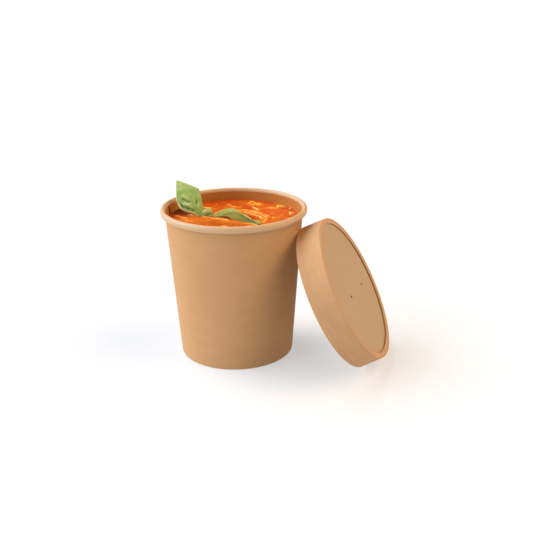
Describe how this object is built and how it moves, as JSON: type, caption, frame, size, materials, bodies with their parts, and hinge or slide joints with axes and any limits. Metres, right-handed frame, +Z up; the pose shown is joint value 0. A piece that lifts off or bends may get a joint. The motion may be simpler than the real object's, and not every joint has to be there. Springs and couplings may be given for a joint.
{
  "type": "takeaway soup container",
  "caption": "Round paper tub of tomato and noodle soup with a basil sprig, its vented paper lid leaning against the side.",
  "frame": {"origin": "middle of the footprint of tub and leaning lid together, on the surface that they stand on", "axes": "+Z up, +X from the tub towards the leaning lid, -Y towards the viewer"},
  "size_m": [0.1558, 0.1212, 0.1175],
  "materials": {
    "cup_board": "matt brown paperboard with fine fibres",
    "base_board": "matt brown paperboard",
    "lid_board": "slightly glossy brown paperboard",
    "lid_disc_board": "matt brown paperboard",
    "tomato_soup": "wet and glossy tomato broth",
    "basil_leaf": "fresh leaf with a satin sheen"
  },
  "bodies": {
    "root": {"cup_wall": "cup_board", "cup_base": "base_board", "soup": "tomato_soup", "basil_sprig": "basil_leaf", "lid_ring": "lid_board", "lid_disc": "lid_disc_board"}
  },
  "joints": []
}
